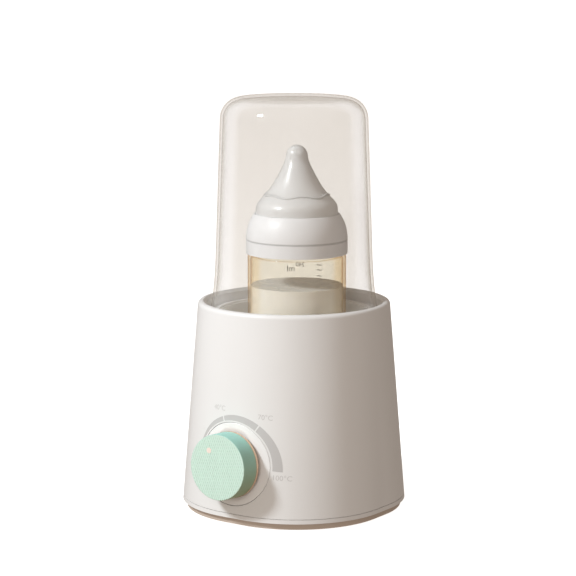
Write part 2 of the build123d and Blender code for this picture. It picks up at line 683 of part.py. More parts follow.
# ---- Dial: what stands still ----
def make_dial_bezel():
    """A plug that follows the housing's surface, flanged behind the wall and dished for the knob."""
    z_low, z_high = DIAL_Z - 2 * BEZEL_RADIUS, DIAL_Z + 2 * BEZEL_RADIUS
    z_low = max(z_low, LOCATING_TOP)
    slab_depth = 2 * BEZEL_DEPTH
    slab = at_dial(post(BEZEL_RADIUS, -BEZEL_DEPTH, slab_depth))
    face = tapered_block(z_low, z_high) & slab
    flange_slab = at_dial(post(BEZEL_FLANGE_RADIUS, -BEZEL_DEPTH, slab_depth))
    flange = tapered_block(z_low, z_high, SHELL_WALL + INLET_GAP) & flange_slab
    dish = turned(
        (0, -DISH_DEPTH),
        (DISH_RADIUS - DISH_SLOPE, -DISH_DEPTH),
        (DISH_RADIUS, 0),
        (DISH_RADIUS, slab_depth),
        (0, slab_depth),
    )
    back = post(BEZEL_RADIUS - BEZEL_FLANGE, -BEZEL_DEPTH, WEB_BACK)
    bezel = face + flange - at_dial(dish) - at_dial(back)
    bezel = fillet(bezel_lip(bezel), BEZEL_ROUND)
    return bezel - at_dial(post(BUSHING_RADIUS + SHAFT_GAP, WEB_BACK, 0))


def bezel_lip(bezel):
    """The outer edge of the bezel's front face."""
    on_lip = DIAL.origin + DIAL.x_dir * (DISH_RADIUS + BEZEL_RADIUS) / 2
    front = bezel.faces().sort_by_distance(on_lip)[0]
    return front.outer_wire().edges()


def make_dial_control():
    """The rotary control behind the bezel, with its threaded neck and three tabs."""
    body = post(CONTROL_RADIUS, WEB_BACK - CONTROL_DEPTH, WEB_BACK)
    neck = post(BUSHING_RADIUS, WEB_BACK, BUSHING_OUT)
    control = body + neck - post(SHAFT_RADIUS + SHAFT_GAP, WEB_BACK - CONTROL_DEPTH / 2, BUSHING_OUT)
    tab_z = WEB_BACK - CONTROL_DEPTH / 2
    for x in (-1, 0, 1):
        place = Pos(x * TAB_PITCH, -CONTROL_RADIUS - TAB_LENGTH / 2 + TAB_ROOT / 2, tab_z)
        control += place * Box(TAB_WIDTH, TAB_LENGTH + TAB_ROOT, TAB_THICK)
    return at_dial(control)


def make_control_washer():
    ring = post(WASHER_RADIUS, -DISH_DEPTH, -DISH_DEPTH + WASHER_THICK)
    return at_dial(ring - post(BUSHING_RADIUS + SHAFT_GAP, -DISH_DEPTH, 0))


def make_control_nut():
    bottom = -DISH_DEPTH + WASHER_THICK
    nut = extrude(RegularPolygon(NUT_FLATS / 2, 6, major_radius=False), amount=NUT_THICK)
    nut = Pos(0, 0, bottom) * nut - post(BUSHING_RADIUS + THREAD_GAP, bottom, bottom + NUT_THICK)
    return at_dial(nut)


# ---- Dial: what turns ----
def d_section(radius, flat, z_low, z_high):
    """A round bar with one flat, as on a control's shaft."""
    bar = post(radius, z_low, z_high)
    width = 2 * radius
    return bar - block(width, width, z_high - z_low, 0, -flat - radius, z_low)


def make_dial_shaft():
    """Round in the control's neck, with a flat where the knob grips it."""
    foot = WEB_BACK - CONTROL_DEPTH / 2 + SHAFT_GAP
    round_part = post(SHAFT_RADIUS, foot, BUSHING_OUT + MATING_GAP)
    return at_dial(round_part + d_section(SHAFT_RADIUS, SHAFT_FLAT, BUSHING_OUT, SHAFT_END))


def knob_blank():
    """The knob's outer form, a little wider at the back than at the face."""
    back = KNOB_RING_OUT + KNOB_RING_THICK
    blank = turned(
        (0, back),
        (KNOB_RADIUS + KNOB_DRAFT, back),
        (KNOB_RADIUS, KNOB_FACE_OUT),
        (0, KNOB_FACE_OUT),
    )
    return fillet(blank.edges().filter_by(GeomType.CIRCLE).sort_by(Axis.Z)[-1], KNOB_EDGE_ROUND)


def face_grooves():
    """Straight grooves side by side across the knob's face, all at one slant."""
    count = int(KNOB_RADIUS / GROOVE_PITCH)
    length = 2 * KNOB_RADIUS + GROOVE_PITCH
    z_low = KNOB_FACE_OUT - GROOVE_DEPTH
    grooves = [
        block(GROOVE_WIDTH, length, 2 * GROOVE_DEPTH, i * GROOVE_PITCH, 0, z_low)
        for i in range(-count, count + 1)
    ]
    return Rot(0, 0, GROOVE_ANGLE) * Compound(children=grooves)


def make_knob():
    back = KNOB_RING_OUT + KNOB_RING_THICK
    ceiling = KNOB_FACE_OUT - KNOB_CAP
    hub_foot = BUSHING_OUT + HUB_GAP
    knob = knob_blank() - post(KNOB_RADIUS - KNOB_WALL, back, ceiling)
    knob += post(KNOB_HUB_RADIUS, hub_foot, ceiling)
    grip = SHAFT_RADIUS + THREAD_GAP, SHAFT_FLAT + THREAD_GAP
    knob -= d_section(*grip, hub_foot, SHAFT_END + MATING_GAP)
    knob -= face_grooves()
    dot_x, dot_y = clock(KNOB_RADIUS - DOT_EDGE, DOT_CLOCK)
    knob -= post(DOT_RADIUS, KNOB_FACE_OUT - DOT_DEPTH, KNOB_FACE_OUT, dot_x, dot_y)
    return at_dial(knob)


def make_knob_pointer():
    dot_x, dot_y = clock(KNOB_RADIUS - DOT_EDGE, DOT_CLOCK)
    dot = post(DOT_RADIUS, KNOB_FACE_OUT - DOT_DEPTH, KNOB_FACE_OUT - GROOVE_DEPTH / 5, dot_x, dot_y)
    return at_dial(dot)


def make_knob_ring():
    """The metal-look ring pressed on the knob's back edge."""
    top = KNOB_RING_OUT + KNOB_RING_THICK
    outer = KNOB_RADIUS + KNOB_DRAFT + KNOB_RING_PROUD
    ring = post(outer, KNOB_RING_OUT, top) - post(KNOB_RADIUS - KNOB_WALL, KNOB_RING_OUT, top)
    return at_dial(ring)


def make_dial_leads():
    """Three thin wires from the control's tabs down to the board's front edge."""
    leads = []
    tab_z = WEB_BACK - CONTROL_DEPTH / 2
    for x in (-1, 0, 1):
        side = x * TAB_PITCH
        start = DIAL.from_local_coords(Vector(side, -CONTROL_RADIUS - TAB_LENGTH, tab_z))
        top = start.Z - THIN_WIRE_RADIUS * math.sin(DIAL_TILT)
        level = BOARD_TOP + WIRE_BEND + THIN_WIRE_RADIUS
        land = board_front() + WIRE_BEND
        route = [
            (side, start.Y, top),
            (side, start.Y, level),
            (side, land, level),
            (side, land, BOARD_TOP),
        ]
        leads.append(wire(THIN_WIRE_RADIUS, WIRE_BEND - THIN_WIRE_RADIUS, *route))
    return leads


# ---- Supply inlet ----
def make_supply_gland():
    """A rubber gland in the back wall, with a lip on each side of it."""
    inner = -SHELL_WALL - INLET_GAP
    gland = post(INLET_FLANGE, INLET_GAP, INLET_LIP) + post(INLET_NECK, inner - INLET_LIP, INLET_GAP)
    gland += post(INLET_FLANGE, inner - INLET_LIP, inner)
    gland = fillet(gland.edges().filter_by(GeomType.CIRCLE).sort_by(Axis.Z)[-1], INLET_LIP / 2)
    return INLET.location * (gland - post(INLET_BORE, inner - INLET_LIP, INLET_LIP))


# ---- Clear cover ----
def cover_form(inset):
    """The cover's outline turned solid: flared foot, straight taper, rounded edge, slight crown."""
    foot = (COVER_FOOT_RADIUS - inset, SEAT)
    waist = (COVER_WAIST_RADIUS - inset, SEAT + COVER_WAIST)
    edge = (COVER_TOP_RADIUS - inset, COVER_TOP - COVER_CROWN - inset)
    middle = (0, COVER_TOP - inset)
    rise = (edge[0] - waist[0], edge[1] - waist[1])
    flare = Spline(foot, waist, tangents=[(-0.25, 1), rise])
    crown_radius = (edge[0] ** 2 + COVER_CROWN**2) / (2 * COVER_CROWN)
    half_drop = crown_radius - math.sqrt(crown_radius**2 - edge[0] ** 2 / 4)
    crown = ThreePointArc(edge, (edge[0] / 2, middle[1] - half_drop), middle)
    outline = [flare, Line(waist, edge), crown, Line(middle, (0, SEAT)), Line((0, SEAT), foot)]
    face = make_face(outline)
    corner = face.vertices().sort_by_distance(Vector(*edge))[0]
    return revolve(Plane.XZ * fillet(corner, COVER_EDGE_ROUND - inset), Axis.Z)


def make_clear_cover():
    cover = cover_form(0) - cover_form(COVER_WALL)
    return fillet(cover.edges().filter_by(GeomType.CIRCLE).group_by(Axis.Z)[0], COVER_FOOT_ROUND)


# ---- Feeding bottle ----
def in_well(shape):
    """Stands a shape built about the well's axis where the bottle stands."""
    return Pos(*BOTTLE_AWAY, 0) * shape


def bottle_form(inset):
    """The bottle's outline turned solid, moved inwards by inset."""
    base = HOT_TOP + inset
    shoulder = HOT_TOP + BOTTLE_HEIGHT - inset
    form = turned(
        (0, base),
        (BOTTLE_RADIUS - inset, base),
        (BOTTLE_RADIUS - inset, shoulder),
        (NECK_RADIUS - inset, shoulder),
        (NECK_RADIUS - inset, NECK_TOP),
        (0, NECK_TOP),
    )
    rims = form.edges().filter_by(GeomType.CIRCLE)
    outer_rims = rims.filter_by(lambda rim: rim.radius > NECK_RADIUS).sort_by(Axis.Z)
    form = fillet(outer_rims[0], BOTTLE_BASE_ROUND - inset)
    rims = form.edges().filter_by(GeomType.CIRCLE)
    shoulder_rim = rims.sort_by_distance(Vector(BOTTLE_RADIUS - inset, 0, shoulder))[0]
    return fillet(shoulder_rim, NECK_STEP / 2)


def make_bottle_shell():
    foot = BOTTLE_RADIUS - 2 * BOTTLE_BASE_ROUND
    push_up_top = HOT_TOP + BOTTLE_PUSH_UP
    push_up = turned((0, HOT_TOP), (foot, HOT_TOP), (foot / 2, push_up_top), (0, push_up_top))
    return in_well(bottle_form(0) - bottle_form(BOTTLE_WALL) - push_up)


def make_milk():
    inset = BOTTLE_WALL + MILK_GAP
    surface = HOT_TOP + MILK_DEPTH
    room = post(BOTTLE_RADIUS, HOT_TOP, surface)
    return in_well(bottle_form(inset) & room)


def make_bottle_collar():
    """A screw collar: a straight band, a fine line round it and a dome above."""
    line_z = COLLAR_BASE + COLLAR_LINE
    band_top = (COLLAR_RADIUS, line_z)
    brim = (COLLAR_TOP_RADIUS, COLLAR_TOP)
    outline = [
        Line((0, COLLAR_BASE), (COLLAR_RADIUS, COLLAR_BASE)),
        Line((COLLAR_RADIUS, COLLAR_BASE), band_top),
        Spline(band_top, brim, tangents=[(0, 1), (-COLLAR_DOME_LEAN, 1)]),
        Line(brim, (0, COLLAR_TOP)),
        Line((0, COLLAR_TOP), (0, COLLAR_BASE)),
    ]
    collar = revolve(Plane.XZ * make_face(outline), Axis.Z)
    line_foot = line_z - COLLAR_LINE_WIDTH
    line_root = COLLAR_RADIUS - COLLAR_LINE_DEPTH
    collar -= post(COLLAR_RADIUS, line_foot, line_z) - post(line_root, line_foot, line_z)
    collar -= post(NECK_RADIUS + COLLAR_GAP, COLLAR_BASE, COLLAR_TOP - COLLAR_TOP_THICK)
    return in_well(collar - post(COLLAR_OPENING, COLLAR_BASE, COLLAR_TOP))


def teat_form(inset):
    """The teat's outline turned solid: a wide dome, a ridge, a waist and a soft tip."""
    base = (TEAT_BASE_RADIUS - inset, NECK_TOP)
    brim = (TEAT_BASE_RADIUS - inset, COLLAR_TOP)
    bulge = (TEAT_BASE_RADIUS - TEAT_DOME_STEP - inset, COLLAR_TOP + TEAT_DOME - inset / 2)
    ridge = (TEAT_RIDGE_RADIUS - inset, COLLAR_TOP + TEAT_RIDGE - inset)
    neck = (TEAT_NECK_RADIUS - inset, COLLAR_TOP + TEAT_NECK)
    tip = (TEAT_TIP_RADIUS - inset, COLLAR_TOP + TEAT_TIP)
    top = (0, tip[1] + tip[0])
    ridge_lean = (-TEAT_RIDGE_LEAN, 1)
    dome = Spline(brim, bulge, ridge, tangents=[(0, 1), ridge_lean])
    slope = Spline(ridge, neck, tip, tangents=[ridge_lean, (-TEAT_TIP_LEAN, 1)])
    middle = (tip[0] * math.sqrt(0.5), tip[1] + tip[0] * math.sqrt(0.5))
    cap = ThreePointArc(tip, middle, top)
    outline = [Line(base, brim), dome, slope, cap, Line(top, (0, NECK_TOP)), Line((0, NECK_TOP), base)]
    return revolve(Plane.XZ * make_face(outline), Axis.Z)


def make_teat():
    flange_top = COLLAR_TOP - COLLAR_TOP_THICK
    flange = post(NECK_RADIUS - TEAT_FLANGE_GAP, NECK_TOP, flange_top)
    teat = teat_form(0) + flange - teat_form(TEAT_WALL)
    hole_top = COLLAR_TOP + TEAT_TIP + 2 * TEAT_TIP_RADIUS
    return in_well(teat - post(TEAT_HOLE, COLLAR_TOP, hole_top))


PARTS = {
    "outer_housing": make_outer_housing,
    "base_tray": make_base_tray,
    "base_plate": make_base_plate,
    "foot_ring": make_foot_ring,
    "base_screws": make_base_screws,
    "water_well": make_water_well,
    "heating_plate": make_heating_plate,
    "plate_gasket": make_plate_gasket,
    "plate_retainer": make_plate_retainer,
    "retainer_screws": make_retainer_screws,
    "ptc_heater": make_ptc_heater,
    "heater_strap": make_heater_strap,
    "strap_screws": make_strap_screws,
    "thermal_fuse": make_thermal_fuse,
    "temperature_probe": make_temperature_probe,
    "heater_leads": make_heater_leads,
    "probe_leads": make_probe_leads,
    "control_board": make_control_board,
    "board_screws": make_board_screws,
    "board_relay": make_board_relay,
    "board_capacitors": make_board_capacitors,
    "lead_terminals": make_lead_terminals,
    "probe_plug": make_probe_plug,
    "dial_bezel": make_dial_bezel,
    "dial_control": make_dial_control,
    "control_washer": make_control_washer,
    "control_nut": make_control_nut,
    "dial_leads": make_dial_leads,
    "supply_gland": make_supply_gland,
    "dial_shaft": make_dial_shaft,
    "knob": make_knob,
    "knob_pointer": make_knob_pointer,
    "knob_ring": make_knob_ring,
    "clear_cover": make_clear_cover,
    "bottle_shell": make_bottle_shell,
    "milk": make_milk,
    "bottle_collar": make_bottle_collar,
    "teat": make_teat,
}

os.makedirs("parts", exist_ok=True)
for name, make in PARTS.items():
    shape = make()
    if isinstance(shape, list):
        shape = Compound(children=shape)
    export_step(shape, f"parts/{name}.step")
    print(name, "written,", len(shape.solids()), "solid(s)")
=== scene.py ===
# %% [markdown]
# # A baby bottle warmer
# The warmer is a white tapered housing with a water well, a mint dial on its front, a clear
# cover that lifts off, and the feeding bottle that stands in the well. The engineered model
# already holds every part at its true size and place. This lesson gives each part its finish,
# adds the printed and moulded details that are too fine for engineering, and lights it.

# %% Load the engineered model
import json
import math

import bmesh
import bpy
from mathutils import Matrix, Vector
from mathutils.bvhtree import BVHTree


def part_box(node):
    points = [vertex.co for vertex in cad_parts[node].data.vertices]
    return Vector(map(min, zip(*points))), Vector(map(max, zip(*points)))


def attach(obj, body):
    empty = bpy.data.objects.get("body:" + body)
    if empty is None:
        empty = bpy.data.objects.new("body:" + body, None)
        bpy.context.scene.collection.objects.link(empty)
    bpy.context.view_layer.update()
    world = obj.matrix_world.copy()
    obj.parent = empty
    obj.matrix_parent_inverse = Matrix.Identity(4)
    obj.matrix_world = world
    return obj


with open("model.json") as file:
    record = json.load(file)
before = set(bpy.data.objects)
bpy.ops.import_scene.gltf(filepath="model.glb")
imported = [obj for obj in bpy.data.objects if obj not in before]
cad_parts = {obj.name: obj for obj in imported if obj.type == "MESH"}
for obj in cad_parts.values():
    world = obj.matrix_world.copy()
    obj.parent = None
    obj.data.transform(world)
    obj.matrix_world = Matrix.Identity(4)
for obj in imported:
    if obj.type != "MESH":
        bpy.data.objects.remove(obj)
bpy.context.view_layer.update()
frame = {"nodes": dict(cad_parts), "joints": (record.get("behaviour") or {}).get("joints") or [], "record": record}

nodes = frame["nodes"]
record = frame["record"]

# %% [markdown]
# ## Shader maths as plain expressions
# A finish is a small calculation: a pattern, scaled and mixed, sets how rough or how bright each
# spot is. It could be wired by hand, node by node. Wrapping each output in a class that
# understands + - * makes the same wiring read like arithmetic, so `1 - mask` adds a node.


# %% A socket that can be added and multiplied
class Value:
    """One node output, which plain operators combine through Math nodes."""

    def __init__(self, finish, socket):
        self.finish = finish
        self.socket = socket

    def math(self, operation, *others):
        inputs = dict(enumerate((self,) + others))
        return self.finish.add("ShaderNodeMath", {"operation": operation}, inputs)[0]

    def __add__(self, other):
        return self.math("ADD", other)

    def __mul__(self, other):
        return self.math("MULTIPLY", other)

    def __sub__(self, other):
        return self.math("SUBTRACT", other)

    def __pow__(self, other):
        return self.math("POWER", other)

    def __rsub__(self, other):
        return self.math("MULTIPLY", -1.0).math("ADD", other)

    __radd__ = __add__
    __rmul__ = __mul__


# %% A node whose outputs are taken by name
class Node:
    """One node; its outputs come out as Value, by name or by number."""

    def __init__(self, finish, node):
        self.finish = finish
        self.node = node

    def __getitem__(self, key):
        return Value(self.finish, self.node.outputs[key])


# %% A material that grows node by node
class Finish:
    """A material with one Principled shader, and one method that adds any other node."""

    def __init__(self, name, color, roughness=0.5, **inputs):
        self.material = bpy.data.materials.new(name)
        self.material.use_nodes = True
        self.tree = self.material.node_tree
        self.principled = Node(self, self.tree.nodes["Principled BSDF"])
        self.set(self.principled, {"Base Color": color, "Roughness": roughness, **inputs})

    def set(self, node, inputs):
        for key, value in inputs.items():
            socket = node.node.inputs[key]
            if isinstance(value, Value):
                self.tree.links.new(value.socket, socket)
            elif isinstance(value, tuple) and len(value) == 3 and socket.type == "RGBA":
                socket.default_value = (*value, 1.0)
            else:
                socket.default_value = value

    def add(self, kind, settings=None, inputs=None):
        node = self.tree.nodes.new(kind)
        for key, value in (settings or {}).items():
            if key == "stops":
                self.ramp(node.color_ramp, value)
            else:
                setattr(node, key, value)
        wrapped = Node(self, node)
        self.set(wrapped, inputs or {})
        return wrapped

    def ramp(self, ramp, stops):
        while len(ramp.elements) < len(stops):
            ramp.elements.new(0.5)
        for element, (place, shade) in zip(ramp.elements, stops):
            element.position = place
            element.color = (shade, shade, shade, 1.0)

    def mix(self, factor, first, second):
        """Blends two colours by a mask."""
        node = self.add("ShaderNodeMix", {"data_type": "RGBA"}, {0: factor, 6: first, 7: second})
        return node[2]

    def step(self, value, low, high):
        """A soft step: 0 below low, 1 above high."""
        node = self.add(
            "ShaderNodeMapRange",
            {"interpolation_type": "SMOOTHSTEP"},
            {"Value": value, "From Min": low, "From Max": high},
        )
        return node["Result"]

    @property
    def place(self):
        """The part's own coordinates, in metres."""
        return self.add("ShaderNodeTexCoord")["Object"]

    def axes(self):
        split = self.add("ShaderNodeSeparateXYZ", inputs={"Vector": self.place})
        return split["X"], split["Y"], split["Z"]

    def noise(self, per_metre, detail=2.0):
        """A cloudy pattern from 0 to 1, with so many blots to the metre."""
        inputs = {"Vector": self.place, "Scale": per_metre, "Detail": detail}
        return self.add("ShaderNodeTexNoise", inputs=inputs)["Fac"]

    def bump(self, height, depth):
        """Tilts the light over a height pattern that is depth metres deep."""
        inputs = {"Height": height, "Distance": depth, "Strength": 1.0}
        normal = self.add("ShaderNodeBump", inputs=inputs)["Normal"]
        self.set(self.principled, {"Normal": normal})
        return normal


def put_on(finish, slot):
    """Gives a finish to every part whose record names that slot."""
    wearers = [row["node"] for row in record["subparts"] if row["material_slot"] == slot]
    for name in wearers:
        mesh = nodes[name].data
        mesh.materials.clear()
        mesh.materials.append(finish.material)
    print(slot, "on", ", ".join(wearers))


# %% [markdown]
# ## Satin moulded plastic
# The housing, tray, bezel and bottle collar are injection mouldings. Their tool is polished and
# then lightly blasted, so the skin is satin with a grain of a few tenths of a millimetre, and
# hands leave slightly glossier patches on it. A single roughness looks like computer plastic, so
# two scales of noise vary it, a very shallow bump gives the grain, and the colour drifts by a
# percent or two. A thin band at the collar's fine groove is painted grey: painted shade, with a little dust.

# %% Satin plastic, used in several shades


def satin(name, color, shade, roughness=0.34, grain=2600.0, coat=0.0):
    finish = Finish(name, color, roughness, **{"IOR": 1.5, "Coat Weight": coat, "Coat Roughness": 0.12})
    drift = finish.noise(28.0, 3.0)
    hands = finish.step(finish.noise(55.0), 0.4, 0.75)
    skin = finish.noise(grain, 3.0)
    finish.drifted = finish.mix(drift * 0.8, color, shade)
    finish.set(
        finish.principled,
        {
            "Base Color": finish.drifted,
            "Roughness": roughness + 0.07 * (skin - 0.5) - 0.06 * hands,
        },
    )
    finish.bump(skin, 0.000006)
    return finish


housing_white = satin("satin_white_housing", (0.86, 0.855, 0.85), (0.835, 0.828, 0.82))
put_on(housing_white, "housing_white")
tray_white = satin("satin_white_tray", (0.86, 0.85, 0.84), (0.83, 0.82, 0.81), 0.38)
put_on(tray_white, "tray_white")
collar_white = satin("satin_white_collar", (0.96, 0.965, 0.985), (0.94, 0.945, 0.965), 0.44)
COLLAR_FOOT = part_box("bottle_collar")[0].z
LINE_ABOVE = 0.009
# Painted shade with a little dust: a thin band at the collar's groove is painted grey.
from_line = (collar_white.axes()[2] - (COLLAR_FOOT + LINE_ABOVE)).math("ABSOLUTE")
groove_shade_dust_mask = 1 - collar_white.step(from_line, 0.0003, 0.0009)
groove_shade_and_dust = collar_white.mix(0.6 * groove_shade_dust_mask, collar_white.drifted, (0.45, 0.44, 0.44))
collar_white.set(collar_white.principled, {"Base Color": groove_shade_and_dust})
put_on(collar_white, "collar_white")
well_grey = satin("pale_grey_well", (0.93, 0.92, 0.91), (0.89, 0.88, 0.87), 0.42, 1800.0)
put_on(well_grey, "well_grey")

# %% [markdown]
# ## Turned white bezel
# The dish round the knob carries fine concentric rings from the turned mould insert. They are
# made from the distance to the dial's axis: a sine of that distance is a ring pattern, which
# goes to the bump. Real rings cut in the mesh would need thousands of faces for the same look.

# %% The dial's axis, read from its joint
turn = next(joint for joint in frame["joints"] if joint["name"] == "dial_turn")
DIAL_CENTRE = Vector(turn["pos_m"])
DIAL_OUT = -Vector(turn["axis"]).normalized()
DIAL_RIGHT = Vector((1.0, 0.0, 0.0))
DIAL_UP = DIAL_OUT.cross(DIAL_RIGHT).normalized()
print("dial centre", [round(v, 4) for v in DIAL_CENTRE], "faces", [round(v, 3) for v in DIAL_OUT])


def from_dial(finish):
    """The distance from the dial's axis, in metres."""
    middle = {0: finish.place, 1: tuple(DIAL_CENTRE)}
    offset = finish.add("ShaderNodeVectorMath", {"operation": "SUBTRACT"}, middle)[0]
    crossed = {0: offset, 1: tuple(DIAL_OUT)}
    across = finish.add("ShaderNodeVectorMath", {"operation": "CROSS_PRODUCT"}, crossed)[0]
    return finish.add("ShaderNodeVectorMath", {"operation": "LENGTH"}, {0: across})["Value"]


def turned_rings(finish, distance, pitch, depth):
    """Fine lathe rings in the bump, with a little unevenness from ring to ring."""
    rings = (distance * (2 * math.pi / pitch)).math("SINE")
    uneven = finish.noise(300.0, 1.0)
    finish.bump(rings * (0.4 + 0.6 * uneven), depth)
    return rings


bezel = satin("turned_white_bezel", (0.93, 0.925, 0.92), (0.91, 0.905, 0.90), 0.3)
bezel_rings = turned_rings(bezel, from_dial(bezel), 0.0006, 0.000004)
bezel.set(bezel.principled, {"Roughness": 0.3 + 0.05 * bezel_rings + 0.05 * bezel.noise(900.0)})
put_on(bezel, "bezel_white")

# %% [markdown]
# ## Mint knob, cream pointer and rose-gold ring
# The knob is a matt mint moulding whose grooved face is real geometry. Fingers polish the tops
# of the ribs, so the roughness falls a little in blots. Its side is the same mint, painted darker
# as painted shade: teal at the top where the light falls, olive at the bottom. The ring behind it is plastic with
# a metallised coat, brushed round the axis.

# %% Dial finishes
knob_low, knob_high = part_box("knob")
KNOB_RADIUS = (knob_high.x - knob_low.x) / 2
mint = Finish("matt_mint_knob", (0.67, 0.85, 0.75), 0.55, **{"IOR": 1.48})
mint_skin = mint.noise(3200.0, 3.0)
mint_worn = mint.step(mint.noise(90.0), 0.45, 0.7)
mint_face = mint.mix(mint.noise(40.0), (0.68, 0.86, 0.77), (0.65, 0.83, 0.735))
# Painted shade: the knob's side is painted darker than its face, lit teal at the top and shaded olive at the
# bottom.
mint_shade_by_height = mint.step(mint.axes()[2], DIAL_CENTRE.z - KNOB_RADIUS, DIAL_CENTRE.z + KNOB_RADIUS)
mint_side_painted_shade = mint.mix(mint_shade_by_height, (0.36, 0.44, 0.25), (0.40, 0.74, 0.66))
mint_edge = mint.step(from_dial(mint), KNOB_RADIUS - 0.0006, KNOB_RADIUS - 0.0002)
mint.set(
    mint.principled,
    {
        "Base Color": mint.mix(mint_edge, mint_face, mint_side_painted_shade),
        "Roughness": 0.5 + 0.12 * mint_skin - 0.1 * mint_worn,
    },
)
mint.bump(mint_skin, 0.00001)
put_on(mint, "knob_mint")

pointer = Finish("cream_pointer", (0.93, 0.80, 0.72), 0.45)
pointer_skin = pointer.noise(5000.0)
pointer.set(pointer.principled, {"Roughness": 0.4 + 0.12 * pointer_skin})
pointer.bump(pointer_skin, 0.000005)
put_on(pointer, "pointer_cream")

rose = Finish("rose_gold_ring", (0.80, 0.58, 0.42), 0.28, Metallic=0.85)
rose_lines = turned_rings(rose, from_dial(rose), 0.00018, 0.000002)
rose.set(rose.principled, {"Roughness": 0.24 + 0.06 * rose_lines + 0.08 * rose.noise(700.0)})
put_on(rose, "ring_rose_gold")

# %% [markdown]
# ## Clear plastics
# The cover and the bottle are clear walls with two faces each. Bending light through both walls
# is slow to render and hardly shows, so each face is thin: it lets most light straight through,
# and shines more the more it is seen edge-on, as any clear plastic does. The facing value does
# that, and it also makes the double line at the edge of each wall. A tint at every face adds up
# to the colour of the whole. A share of each face is a milky haze, which is the light that a real
# wall scatters, and it is stronger edge-on. Clear walls throw almost no shadow, so the light path
# node lets lamp light reach the inside untouched.

# %% Thin clear plastic with a tint


def clear(name, tint, band_tint, edge_tint, sheen, haze, gloss=0.3):
    """See-through faces: tint head-on, band_tint where they turn away, edge_tint edge-on."""
    finish = Finish(name, tint)
    finish.tree.nodes.remove(finish.principled.node)
    ripple = finish.noise(60.0, 1.0)
    scuff = finish.step(finish.noise(420.0, 4.0), 0.55, 0.8)
    height = {"Height": ripple, "Distance": 0.00003, "Strength": 1.0}
    normal = finish.add("ShaderNodeBump", inputs=height)["Normal"]
    facing = finish.add("ShaderNodeLayerWeight", inputs={"Blend": 0.5, "Normal": normal})["Facing"]
    tints = (tint, band_tint, edge_tint)
    see = [finish.add("ShaderNodeBsdfTransparent", inputs={"Color": shade})[0] for shade in tints]
    turned = {0: finish.step(facing, 0.3, 0.48), 1: see[0], 2: see[1]}
    body = finish.add("ShaderNodeMixShader", inputs=turned)[0]
    edge = {0: finish.step(facing, 0.6, 0.92), 1: body, 2: see[2]}
    body = finish.add("ShaderNodeMixShader", inputs=edge)[0]
    milky = finish.add("ShaderNodeBsdfDiffuse", inputs={"Color": sheen, "Roughness": 0.5})[0]
    cloud = haze + 3.0 * haze * facing**3.0
    body = finish.add("ShaderNodeMixShader", inputs={0: cloud, 1: body, 2: milky})[0]
    shine_inputs = {"Color": sheen, "Roughness": 0.04 + 0.1 * scuff, "Normal": normal}
    shine = finish.add("ShaderNodeBsdfGlossy", inputs=shine_inputs)[0]
    share = 0.03 + gloss * facing**5.0
    surface = finish.add("ShaderNodeMixShader", inputs={0: share, 1: body, 2: shine})[0]
    shadow = finish.add("ShaderNodeLightPath")["Is Shadow Ray"]
    open_air = finish.add("ShaderNodeBsdfTransparent", inputs={"Color": (1.0, 1.0, 1.0)})[0]
    surface = finish.add("ShaderNodeMixShader", inputs={0: shadow, 1: surface, 2: open_air})[0]
    output = next(n for n in finish.tree.nodes if n.type == "OUTPUT_MATERIAL")
    finish.tree.links.new(surface.socket, output.inputs["Surface"])
    return finish


cover_clear = clear(
    "clear_cover_plastic",
    (0.932, 0.925, 0.914),
    (0.966, 0.964, 0.962),
    (0.87, 0.85, 0.82),
    (0.93, 0.93, 0.93),
    0.05,
)
put_on(cover_clear, "cover_clear")
bottle_amber = clear(
    "amber_bottle_plastic",
    (1.0, 0.995, 0.965),
    (0.995, 0.958, 0.875),
    (0.84, 0.68, 0.48),
    (0.95, 0.85, 0.68),
    0.025,
)
put_on(bottle_amber, "bottle_amber")
bpy.context.scene.cycles.transparent_max_bounces = 24

# %% [markdown]
# ## Milk and the silicone teat
# Both let light wander under the skin, which is why they look soft. Subsurface scattering does
# that. The teat is clear enough to be grey-white and glossy, and the milk is a warm cream.

# %% Milk and teat
milk = Finish(
    "warm_milk",
    (0.96, 0.945, 0.93),
    0.25,
    **{
        "Subsurface Weight": 0.3,
        "Subsurface Radius": (1.0, 0.95, 0.85),
        "Subsurface Scale": 0.002,
        "Coat Weight": 0.1,
    },
)
milk_swirl = milk.noise(60.0, 3.0)
milk.set(
    milk.principled,
    {
        "Base Color": milk.mix(milk_swirl, (0.96, 0.945, 0.93), (0.94, 0.925, 0.905)),
        "Roughness": 0.2 + 0.15 * milk_swirl,
    },
)
milk.bump(milk_swirl, 0.00003)
put_on(milk, "milk_cream")

teat = Finish(
    "silicone_teat",
    (0.93, 0.93, 0.93),
    0.3,
    **{
        "Subsurface Weight": 0.6,
        "Subsurface Radius": (1.0, 0.97, 0.94),
        "Subsurface Scale": 0.006,
        "Coat Weight": 0.3,
        "Coat Roughness": 0.12,
    },
)
teat_skin = teat.noise(1500.0)
teat.set(
    teat.principled,
    {
        "Base Color": teat.mix(teat.noise(90.0), (0.93, 0.93, 0.93), (0.91, 0.91, 0.91)),
        "Roughness": 0.26 + 0.1 * teat_skin,
    },
)
teat.bump(teat_skin, 0.000006)
put_on(teat, "teat_silicone")

# %% [markdown]
# ## Base, gland and feet
# The plate under the white tray is a beige matt moulding, painted a darker tan as painted shade
# under the tray, and painted paler at its bottom edge as painted bounce light from the floor. Rubber is darker and
# rougher, with a coarse grain.

# %% Matt plastic and rubber


